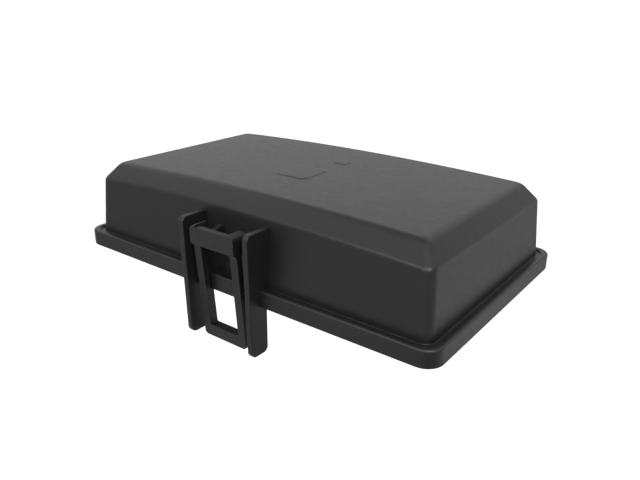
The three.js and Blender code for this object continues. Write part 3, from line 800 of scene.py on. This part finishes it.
def ramp(nodes, links, value, stops):
    """A colour ramp over (position, colour) stops."""
    node = nodes.new("ShaderNodeValToRGB")
    elements = node.color_ramp.elements
    while len(elements) < len(stops):
        elements.new(0.5)
    for element, (position, colour) in zip(elements, stops):
        element.position = position
        element.color = (*colour, 1.0)
    links.new(value, node.inputs["Fac"])
    return node.outputs["Color"]


def mix(nodes, links, factor, a, b):
    """Mixes two colours, each a socket or a plain colour."""
    node = nodes.new("ShaderNodeMix")
    node.data_type = "RGBA"
    for socket, value in ((node.inputs["Factor"], factor), (node.inputs["A"], a), (node.inputs["B"], b)):
        if hasattr(value, "links"):
            links.new(value, socket)
        else:
            socket.default_value = value if isinstance(value, float) else (*value, 1.0)
    return node.outputs["Result"]


def bump(nodes, links, height, distance, strength, under=None):
    """A bump with its distance in millimetres, on top of another one if given."""
    node = nodes.new("ShaderNodeBump")
    node.inputs["Distance"].default_value = distance * MM
    node.inputs["Strength"].default_value = strength
    links.new(height, node.inputs["Height"])
    if under is not None:
        links.new(under, node.inputs["Normal"])
    return node.outputs["Normal"]


def grey(value):
    """A neutral colour."""
    return (value, value, value)


def moulded_plastic(name, colour, rough):
    """Injection-moulded plastic: spark-eroded skin, faint flow mottling, scuffs and worn edges."""
    wear, rough_spread = 0.35, 0.03
    made, nodes, links, shader = material(name)
    mottle = ramp(
        nodes,
        links,
        object_noise(nodes, links, scale=38.0, detail=5.0, roughness=0.6),
        [(0.3, [c * 0.86 for c in colour]), (0.72, [c * 1.16 for c in colour])],
    )
    speckle = ramp(
        nodes,
        links,
        object_noise(nodes, links, scale=1500.0, detail=2.0),
        [(0.42, grey(0.0)), (0.7, grey(1.0))],
    )
    skin = mix(nodes, links, 0.5, mottle, [c * 1.12 for c in colour])
    speckled = mix(nodes, links, speckle, skin, mottle)
    geometry = nodes.new("ShaderNodeNewGeometry")
    edge = ramp(nodes, links, geometry.outputs["Pointiness"], [(0.52, grey(0.0)), (0.6, grey(wear))])
    patchy = ramp(
        nodes,
        links,
        object_noise(nodes, links, scale=160.0, detail=6.0, roughness=0.7),
        [(0.45, grey(0.0)), (0.65, grey(1.0))],
    )
    worn_share = nodes.new("ShaderNodeMath")
    worn_share.operation = "MULTIPLY"
    links.new(edge, worn_share.inputs[0])
    links.new(patchy, worn_share.inputs[1])
    worn = mix(nodes, links, worn_share.outputs[0], speckled, [c * 1.9 + 0.004 for c in colour])
    links.new(worn, shader.inputs["Base Color"])
    scuff = object_noise(nodes, links, scale=260.0, detail=6.0, roughness=0.65)
    roughness = ramp(
        nodes,
        links,
        scuff,
        [(0.3, grey(rough - rough_spread)), (0.7, grey(rough + rough_spread))],
    )
    links.new(roughness, shader.inputs["Roughness"])
    fine = object_noise(nodes, links, scale=2600.0, detail=3.0, roughness=0.6)
    broad = object_noise(nodes, links, scale=60.0, detail=3.0, roughness=0.5)
    skin_normal = bump(nodes, links, fine, distance=0.05, strength=0.6)
    normal = bump(nodes, links, broad, distance=0.03, strength=0.12, under=skin_normal)
    links.new(normal, shader.inputs["Normal"])
    shader.inputs["IOR"].default_value = 1.48
    shader.inputs["Specular Tint"].default_value = (1.0, 0.965, 0.99, 1.0)
    return made


def plated_steel(name):
    """Zinc-plated steel with drawn streaks and a faint blue-yellow cast."""
    made, nodes, links, shader = material(name)
    streaks = object_noise(nodes, links, scale=900.0, detail=4.0, roughness=0.6, stretch=(0.08, 1.0, 1.0))
    tint = ramp(
        nodes,
        links,
        object_noise(nodes, links, scale=120.0, detail=4.0),
        [(0.3, (0.52, 0.54, 0.57)), (0.7, (0.66, 0.65, 0.6))],
    )
    links.new(tint, shader.inputs["Base Color"])
    shader.inputs["Metallic"].default_value = 1.0
    roughness = ramp(nodes, links, streaks, [(0.3, grey(0.26)), (0.7, grey(0.46))])
    links.new(roughness, shader.inputs["Roughness"])
    links.new(bump(nodes, links, streaks, distance=0.02, strength=0.35), shader.inputs["Normal"])
    return made


def soft_rubber(name):
    """Dull black rubber with a pale bloom."""
    made, nodes, links, shader = material(name)
    bloom = ramp(
        nodes,
        links,
        object_noise(nodes, links, scale=300.0, detail=5.0, roughness=0.65),
        [(0.3, grey(0.012)), (0.75, grey(0.035))],
    )
    links.new(bloom, shader.inputs["Base Color"])
    grain = object_noise(nodes, links, scale=1800.0, detail=3.0)
    roughness = ramp(nodes, links, grain, [(0.3, grey(0.72)), (0.7, grey(0.9))])
    links.new(roughness, shader.inputs["Roughness"])
    links.new(bump(nodes, links, grain, distance=0.05, strength=0.5), shader.inputs["Normal"])
    return made


def bait_wax(name):
    """Dyed wax with pressed grain: translucent-looking body, pale flecks and dark husks."""
    made, nodes, links, shader = material(name)
    body = ramp(
        nodes,
        links,
        object_noise(nodes, links, scale=90.0, detail=6.0, roughness=0.6),
        [(0.3, (0.018, 0.14, 0.17)), (0.7, (0.04, 0.24, 0.27))],
    )
    coordinates = nodes.new("ShaderNodeTexCoord")
    cells = nodes.new("ShaderNodeTexVoronoi")
    cells.inputs["Scale"].default_value = 420.0
    cells.inputs["Randomness"].default_value = 1.0
    links.new(coordinates.outputs["Object"], cells.inputs["Vector"])
    fleck = ramp(nodes, links, cells.outputs["Distance"], [(0.16, grey(1.0)), (0.3, grey(0.0))])
    rare = ramp(
        nodes,
        links,
        object_noise(nodes, links, scale=300.0, detail=2.0),
        [(0.52, grey(0.0)), (0.6, grey(1.0))],
    )
    share = nodes.new("ShaderNodeMath")
    share.operation = "MULTIPLY"
    links.new(fleck, share.inputs[0])
    links.new(rare, share.inputs[1])
    flecked = mix(nodes, links, share.outputs[0], body, (0.33, 0.42, 0.33))
    links.new(flecked, shader.inputs["Base Color"])
    skin = object_noise(nodes, links, scale=700.0, detail=6.0, roughness=0.7)
    roughness = ramp(nodes, links, skin, [(0.3, grey(0.42)), (0.7, grey(0.68))])
    links.new(roughness, shader.inputs["Roughness"])
    links.new(bump(nodes, links, skin, distance=0.25, strength=0.5), shader.inputs["Normal"])
    shader.inputs["Subsurface Weight"].default_value = 0.15
    shader.inputs["Subsurface Radius"].default_value = (0.002, 0.003, 0.003)
    return made


def ruled_card(name):
    """Laminated record card with plain printed rules and no words."""
    made, nodes, links, shader = material(name)
    coordinates = nodes.new("ShaderNodeTexCoord")
    split = nodes.new("ShaderNodeSeparateXYZ")
    links.new(coordinates.outputs["Object"], split.inputs["Vector"])

    def rule(axis, pitch, width):
        """Lines across an axis, with their pitch in millimetres and their width as a share of it."""
        ratio = nodes.new("ShaderNodeMath")
        ratio.operation = "DIVIDE"
        ratio.inputs[1].default_value = pitch * MM
        links.new(split.outputs[axis], ratio.inputs[0])
        wrap = nodes.new("ShaderNodeMath")
        wrap.operation = "FRACT"
        links.new(ratio.outputs[0], wrap.inputs[0])
        line = nodes.new("ShaderNodeMath")
        line.operation = "LESS_THAN"
        line.inputs[1].default_value = width
        links.new(wrap.outputs[0], line.inputs[0])
        return line.outputs[0]

    paper = ramp(
        nodes,
        links,
        object_noise(nodes, links, scale=500.0, detail=5.0),
        [(0.3, (0.74, 0.72, 0.64)), (0.7, (0.82, 0.8, 0.73))],
    )
    ink = (0.22, 0.26, 0.32)
    rows = mix(nodes, links, rule("Y", pitch=6.0, width=0.06), paper, ink)
    grid = mix(nodes, links, rule("X", pitch=19.0, width=0.02), rows, ink)
    links.new(grid, shader.inputs["Base Color"])
    gloss = object_noise(nodes, links, scale=200.0, detail=4.0)
    roughness = ramp(nodes, links, gloss, [(0.3, grey(0.24)), (0.7, grey(0.38))])
    links.new(roughness, shader.inputs["Roughness"])
    links.new(bump(nodes, links, gloss, distance=0.05, strength=0.2), shader.inputs["Normal"])
    return made


# ---------------------------------------------------------------- pieces on their bodies

NEAR_BLACK = (0.0055, 0.0053, 0.0055)
PLASTIC = moulded_plastic("cover_plastic", NEAR_BLACK, rough=0.45)
LATCH_PLASTIC = moulded_plastic("latch_plastic", NEAR_BLACK, rough=0.45)
PAN_PLASTIC = moulded_plastic("pan_plastic", (0.02, 0.021, 0.022), rough=0.56)
TRAY_PLASTIC = moulded_plastic("tray_plastic", (0.055, 0.057, 0.058), rough=0.45)
STEEL = plated_steel("steel")
RUBBER = soft_rubber("rubber")
WAX = bait_wax("bait")
CARD = ruled_card("card")


def place(piece, body, slot, finish, *nodes):
    """Gives a piece its finish and the body it rides on, and hides the CAD nodes it stands for."""
    piece.data.materials.clear()
    piece.data.materials.append(finish)
    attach(piece, body)
    if nodes:
        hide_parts(*nodes)


place(cover_moulding(), "cover", "cover_plastic", PLASTIC, "cover_shell")
for pad in (
    top_pad("cover_pad_large", half_x=11.5, half_y=12.5, radius=5.0, centre=(1.7, -11.6)),
    top_pad("cover_pad_small", half_x=5.5, half_y=4.5, radius=2.5, centre=(7.0, 20.0)),
):
    place(pad, "cover", "cover_plastic", PLASTIC)
for rail_side in (-1, 1):
    place(card_rail(rail_side), "cover", "cover_plastic", PLASTIC)
place(latch_pin(), "cover", "steel", STEEL, "latch_pin")

spring = latch_spring()
spring.data.materials.append(STEEL)
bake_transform(spring)
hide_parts("latch_spring")

place(moulded_copy("service_card_sheet", "service_card", 0.2, 2), "cover", "card", CARD, "service_card")

place(latch_lever(), "latch", "latch_plastic", LATCH_PLASTIC, "latch_lever")

for node in ("base_pan", "tunnel_wall"):
    place(smooth(moulded_copy(f"{node}_moulding", node, 0.5)), "base", "pan_plastic", PAN_PLASTIC, node)
place(hinge_pin("hinge_pin_left", -1), "base", "steel", STEEL, "hinge_pin_left")
place(hinge_pin("hinge_pin_right", 1), "base", "steel", STEEL, "hinge_pin_right")
for number in range(1, 5):
    screw, washer = f"anchor_screw_{number}", f"screw_washer_{number}"
    place(anchor_screw(screw), "base", "steel", STEEL, screw)
    place(screw_washer(washer), "base", "rubber", RUBBER, washer)

place(
    smooth(moulded_copy("bait_tray_moulding", "bait_tray", 0.45)),
    "tray",
    "tray_plastic",
    TRAY_PLASTIC,
    "bait_tray",
)

for row_number, row in enumerate(("front", "rear")):
    place(bait_rod(row), f"rod_{row}", "steel", STEEL, f"bait_rod_{row}")
    for number in range(1, 4):
        block = f"bait_block_{row}_{number}"
        place(bait_block(block, row_number * 3 + number), f"rod_{row}", "bait", WAX, block)


# ---------------------------------------------------------------- camera, floor and light

CAMERA_LENS = 35.32
CAMERA_SENSOR = 36.0
CAMERA_CLIP = (0.01, 1500.0)  # metres: the floor reaches far back
CAMERA_YAW = 37.01  # degrees from looking along +Y
CAMERA_PITCH = 21.41  # degrees down
CAMERA_ROLL = 0.55
CAMERA_DISTANCE = 379.5  # along the view, from the middle of the pan's underside
CAMERA_SLIDE = (5.03, 7.71)  # how far right and up the camera stands from that line


def add_camera():
    """The camera looks down at the station's front right corner."""
    yaw, pitch, roll = (math.radians(a) for a in (CAMERA_YAW, CAMERA_PITCH, CAMERA_ROLL))
    look = Vector((-math.sin(yaw) * math.cos(pitch), math.cos(yaw) * math.cos(pitch), -math.sin(pitch)))
    level = Vector((math.cos(yaw), math.sin(yaw), 0.0))
    upright = level.cross(look)
    right = level * math.cos(roll) + upright * math.sin(roll)
    up = upright * math.cos(roll) - level * math.sin(roll)
    place_at = -look * CAMERA_DISTANCE + right * CAMERA_SLIDE[0] + up * CAMERA_SLIDE[1]
    data = bpy.data.cameras.new("camera")
    data.lens = CAMERA_LENS
    data.sensor_width = CAMERA_SENSOR
    data.clip_start, data.clip_end = CAMERA_CLIP
    camera = bpy.data.objects.new("camera", data)
    turn = Matrix((right, up, -look)).transposed().to_4x4()
    camera.matrix_world = Matrix.Translation(place_at * MM) @ turn
    bpy.context.scene.collection.objects.link(camera)
    bpy.context.scene.camera = camera


def add_floor():
    """A pale floor far below the station. It ends in front of it, so the front wall doesn't mirror it."""
    level, reach = -1000.0, 600000.0
    right, front = 350.0, -500.0
    corners = [(-reach, front, level), (right, front, level), (right, reach, level), (-reach, reach, level)]
    floor = new_object("floor", corners, [(0, 1, 2, 3)])
    made, nodes, links, shader = material("floor_paper")
    tone = ramp(
        nodes,
        links,
        object_noise(nodes, links, scale=3.0, detail=2.0),
        [(0.0, grey(0.94)), (1.0, grey(0.97))],
    )
    links.new(tone, shader.inputs["Base Color"])
    shader.inputs["Roughness"].default_value = 0.9
    floor.data.materials.append(made)


def add_lamp(name, data, place_at):
    """A lamp that stands off the station, in metres, and is aimed at its middle."""
    lamp = bpy.data.objects.new(name, data)
    lamp.location = place_at
    lamp.rotation_euler = (-Vector(place_at)).to_track_quat("-Z", "Y").to_euler()
    bpy.context.scene.collection.objects.link(lamp)


def add_light(name, place_at, size, radiance):
    """A soft rectangular light, with its size in metres and the radiance of its own surface."""
    data = bpy.data.lights.new(name, "AREA")
    data.shape = "RECTANGLE"
    data.size, data.size_y = size
    data.energy = radiance * math.pi * size[0] * size[1]
    add_lamp(name, data, place_at)


def add_sun(name, direction, spread, irradiance):
    """A broad sun for the floor, with its spread in degrees."""
    data = bpy.data.lights.new(name, "SUN")
    data.angle = math.radians(spread)
    data.energy = irradiance
    add_lamp(name, data, direction)


def add_world(towards, stops):
    """A room whose grey depends on the angle from one direction, as (cosine, grey) stops."""
    world = bpy.data.worlds.new("studio")
    world.use_nodes = True
    nodes, links = world.node_tree.nodes, world.node_tree.links
    coordinates = nodes.new("ShaderNodeTexCoord")
    along = nodes.new("ShaderNodeVectorMath")
    along.operation = "DOT_PRODUCT"
    along.inputs[1].default_value = [v / 2 for v in Vector(towards).normalized()]
    links.new(coordinates.outputs["Generated"], along.inputs[0])
    shift = nodes.new("ShaderNodeMath")
    shift.operation = "ADD"
    shift.inputs[1].default_value = 0.5
    links.new(along.outputs["Value"], shift.inputs[0])
    tone = ramp(nodes, links, shift.outputs[0], [((t + 1) / 2, grey(v)) for t, v in stops])
    links.new(tone, nodes["Background"].inputs["Color"])
    bpy.context.scene.world = world


add_camera()
add_floor()
add_world(
    towards=(-0.25, 0.3, 0.92),
    stops=[
        (-0.6, 0.13),
        (-0.35, 0.05),
        (-0.12, 0.07),
        (0.1, 0.8),
        (0.5, 0.62),
        (0.59, 0.75),
        (0.74, 1.65),
        (0.9, 0.55),
    ],
)
add_sun("top_sun", (0.66, -0.48, 0.58), spread=25.0, irradiance=2.0)
add_light("front_strip", (0.05, -0.95, 0.46), size=(1.1, 0.25), radiance=6.5)
add_light("front_fill", (-0.15, -0.88, -0.34), size=(1.8, 0.45), radiance=0.79)
add_light("corner_fill", (0.85, -0.3, -0.18), size=(0.8, 0.4), radiance=0.6)
add_light("right_fill", (0.285, 0.13, -0.075), size=(0.34, 0.2), radiance=0.84)
bpy.context.scene.view_settings.view_transform = "Standard"
